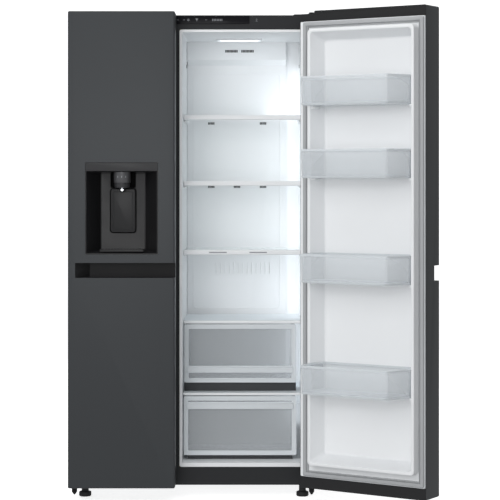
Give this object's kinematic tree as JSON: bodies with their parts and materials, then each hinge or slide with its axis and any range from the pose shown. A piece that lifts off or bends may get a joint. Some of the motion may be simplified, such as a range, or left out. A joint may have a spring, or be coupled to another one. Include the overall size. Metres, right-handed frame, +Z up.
{
  "type": "side by side refrigerator",
  "caption": "Black side by side refrigerator with a freezer door water dispenser, recessed handle pockets, glass shelves, clear drawers and door bins; the fresh food door stands open.",
  "frame": {"origin": "middle of the footprint of the object at rest, on the floor under its feet", "axes": "+Z up; the closed freezer door's face looks along -Y; +X is to the right when facing the doors"},
  "size_m": [1.334, 1.0534, 1.79],
  "materials": {
    "black_steel": "satin",
    "black_plastic": "matte",
    "gloss_black": "gloss",
    "white_liner": "satin",
    "grey_gasket": "matte",
    "clear_plastic": "gloss",
    "shelf_glass": "gloss",
    "foam": "matte",
    "zinc_steel": "satin",
    "bare_aluminium": "satin",
    "black_enamel": "satin",
    "nozzle_grey": "satin"
  },
  "bodies": {
    "case": {"outer_shell": "black_steel", "rear_panel": "zinc_steel", "left_wall_foam": "foam", "right_wall_foam": "foam", "top_foam": "foam", "rear_foam": "foam", "floor_foam": "foam", "divider_foam": "foam", "fresh_food_liner": "white_liner", "freezer_liner": "white_liner", "front_frame": "black_steel", "control_panel": "gloss_black", "air_duct_panel": "white_liner", "light_cover": "clear_plastic", "crisper_cover": "clear_plastic", "crisper_divider": "clear_plastic", "freezer_shelf_1": "clear_plastic", "freezer_shelf_2": "clear_plastic", "freezer_basket": "clear_plastic", "ice_maker": "clear_plastic", "evaporator": "bare_aluminium", "condenser": "black_enamel", "compressor": "black_enamel", "base_pan": "zinc_steel", "front_foot_left": "black_plastic", "front_foot_right": "black_plastic", "machine_cover": "zinc_steel", "top_hinge_left": "black_enamel", "top_hinge_right": "black_enamel", "bottom_hinge_left": "black_enamel", "bottom_hinge_right": "black_enamel", "shelf_trim_1": "white_liner", "shelf_glass_1": "shelf_glass", "shelf_trim_2": "white_liner", "shelf_glass_2": "shelf_glass", "shelf_trim_3": "white_liner", "shelf_glass_3": "shelf_glass"},
    "condenser_fan": {"condenser_fan": "black_plastic"},
    "rear_roller_left": {"rear_roller_left": "black_plastic"},
    "rear_roller_right": {"rear_roller_right": "black_plastic"},
    "upper_crisper": {"upper_crisper": "clear_plastic"},
    "lower_crisper": {"lower_crisper": "clear_plastic"},
    "freezer_door": {"freezer_door_shell": "black_steel", "freezer_door_foam": "foam", "freezer_door_liner": "white_liner", "freezer_door_gasket": "grey_gasket", "freezer_bin_1": "clear_plastic", "freezer_bin_2": "clear_plastic", "dispenser_housing": "black_plastic", "dispenser_nozzle": "nozzle_grey", "drip_tray": "black_plastic"},
    "dispenser_lever": {"dispenser_lever": "black_plastic"},
    "fresh_door": {"fresh_door_shell": "black_steel", "fresh_door_foam": "foam", "fresh_door_liner": "white_liner", "fresh_door_gasket": "grey_gasket", "fresh_bin_1": "clear_plastic", "fresh_bin_2": "clear_plastic", "fresh_bin_3": "clear_plastic", "fresh_bin_4": "clear_plastic"}
  },
  "joints": [
    {"name": "fresh_door_hinge", "type": "hinge", "parent": "case", "child": "fresh_door", "pos_m": [0.22202, -0.15031, 0.9], "axis": [0, 0, 1], "range_deg": [-147.5, 0]},
    {"name": "freezer_door_hinge", "type": "hinge", "parent": "case", "child": "freezer_door", "pos_m": [-0.64798, -0.15031, 0.9], "axis": [0, 0, -1], "range_deg": [0, 147.5]},
    {"name": "upper_crisper_slide", "type": "slide", "parent": "case", "child": "upper_crisper", "axis": [0, -1, 0], "range_m": [0, 0.25]},
    {"name": "lower_crisper_slide", "type": "slide", "parent": "case", "child": "lower_crisper", "axis": [0, -1, 0], "range_m": [0, 0.21]},
    {"name": "dispenser_lever_pivot", "type": "hinge", "parent": "freezer_door", "child": "dispenser_lever", "pos_m": [-0.47098, -0.13631, 1.141], "axis": [1, 0, 0], "range_deg": [0, 4], "stiffness_Nm_per_rad": 1, "springref_deg": -2.86},
    {"name": "condenser_fan_spin", "type": "hinge", "parent": "case", "child": "condenser_fan", "pos_m": [-0.27298, 0.42499, 0.1337], "axis": [1, 0, 0], "continuous": true},
    {"name": "rear_roller_left_spin", "type": "hinge", "parent": "case", "child": "rear_roller_left", "pos_m": [-0.59698, 0.45669, 0.022], "axis": [1, 0, 0], "continuous": true},
    {"name": "rear_roller_right_spin", "type": "hinge", "parent": "case", "child": "rear_roller_right", "pos_m": [0.17102, 0.45669, 0.022], "axis": [1, 0, 0], "continuous": true}
  ]
}
